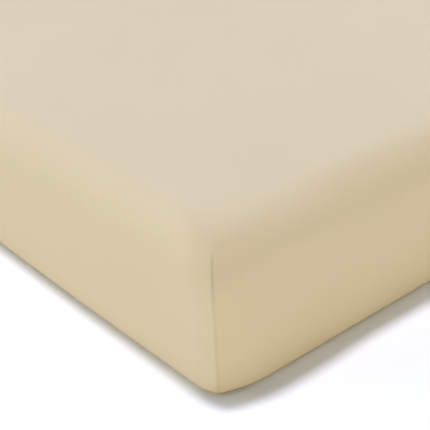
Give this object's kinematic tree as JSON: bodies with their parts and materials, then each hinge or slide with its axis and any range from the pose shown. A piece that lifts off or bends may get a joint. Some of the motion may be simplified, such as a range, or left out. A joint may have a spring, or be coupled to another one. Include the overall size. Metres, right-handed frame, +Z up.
{
  "type": "fitted sheet on a mattress",
  "caption": "Plain cream fitted sheet stretched over a low foam mattress, with a softly rounded top edge, sewn upright corners and an edge turned under to a folded hem.",
  "frame": {"origin": "on the floor, under the middle of the mattress", "axes": "+Z up, +Y along the mattress towards its head, +X across it; the corner in the picture is the one at -X and -Y"},
  "size_m": [0.9126, 2.007, 0.2057],
  "materials": {
    "sheet_cloth": "smooth fine cotton jersey, cream, matt with a faint soft sheen",
    "mattress_cover": "plain woven ticking, off-white, matt"
  },
  "bodies": {
    "root": {"fitted_sheet": "sheet_cloth", "mattress": "mattress_cover"}
  },
  "joints": []
}
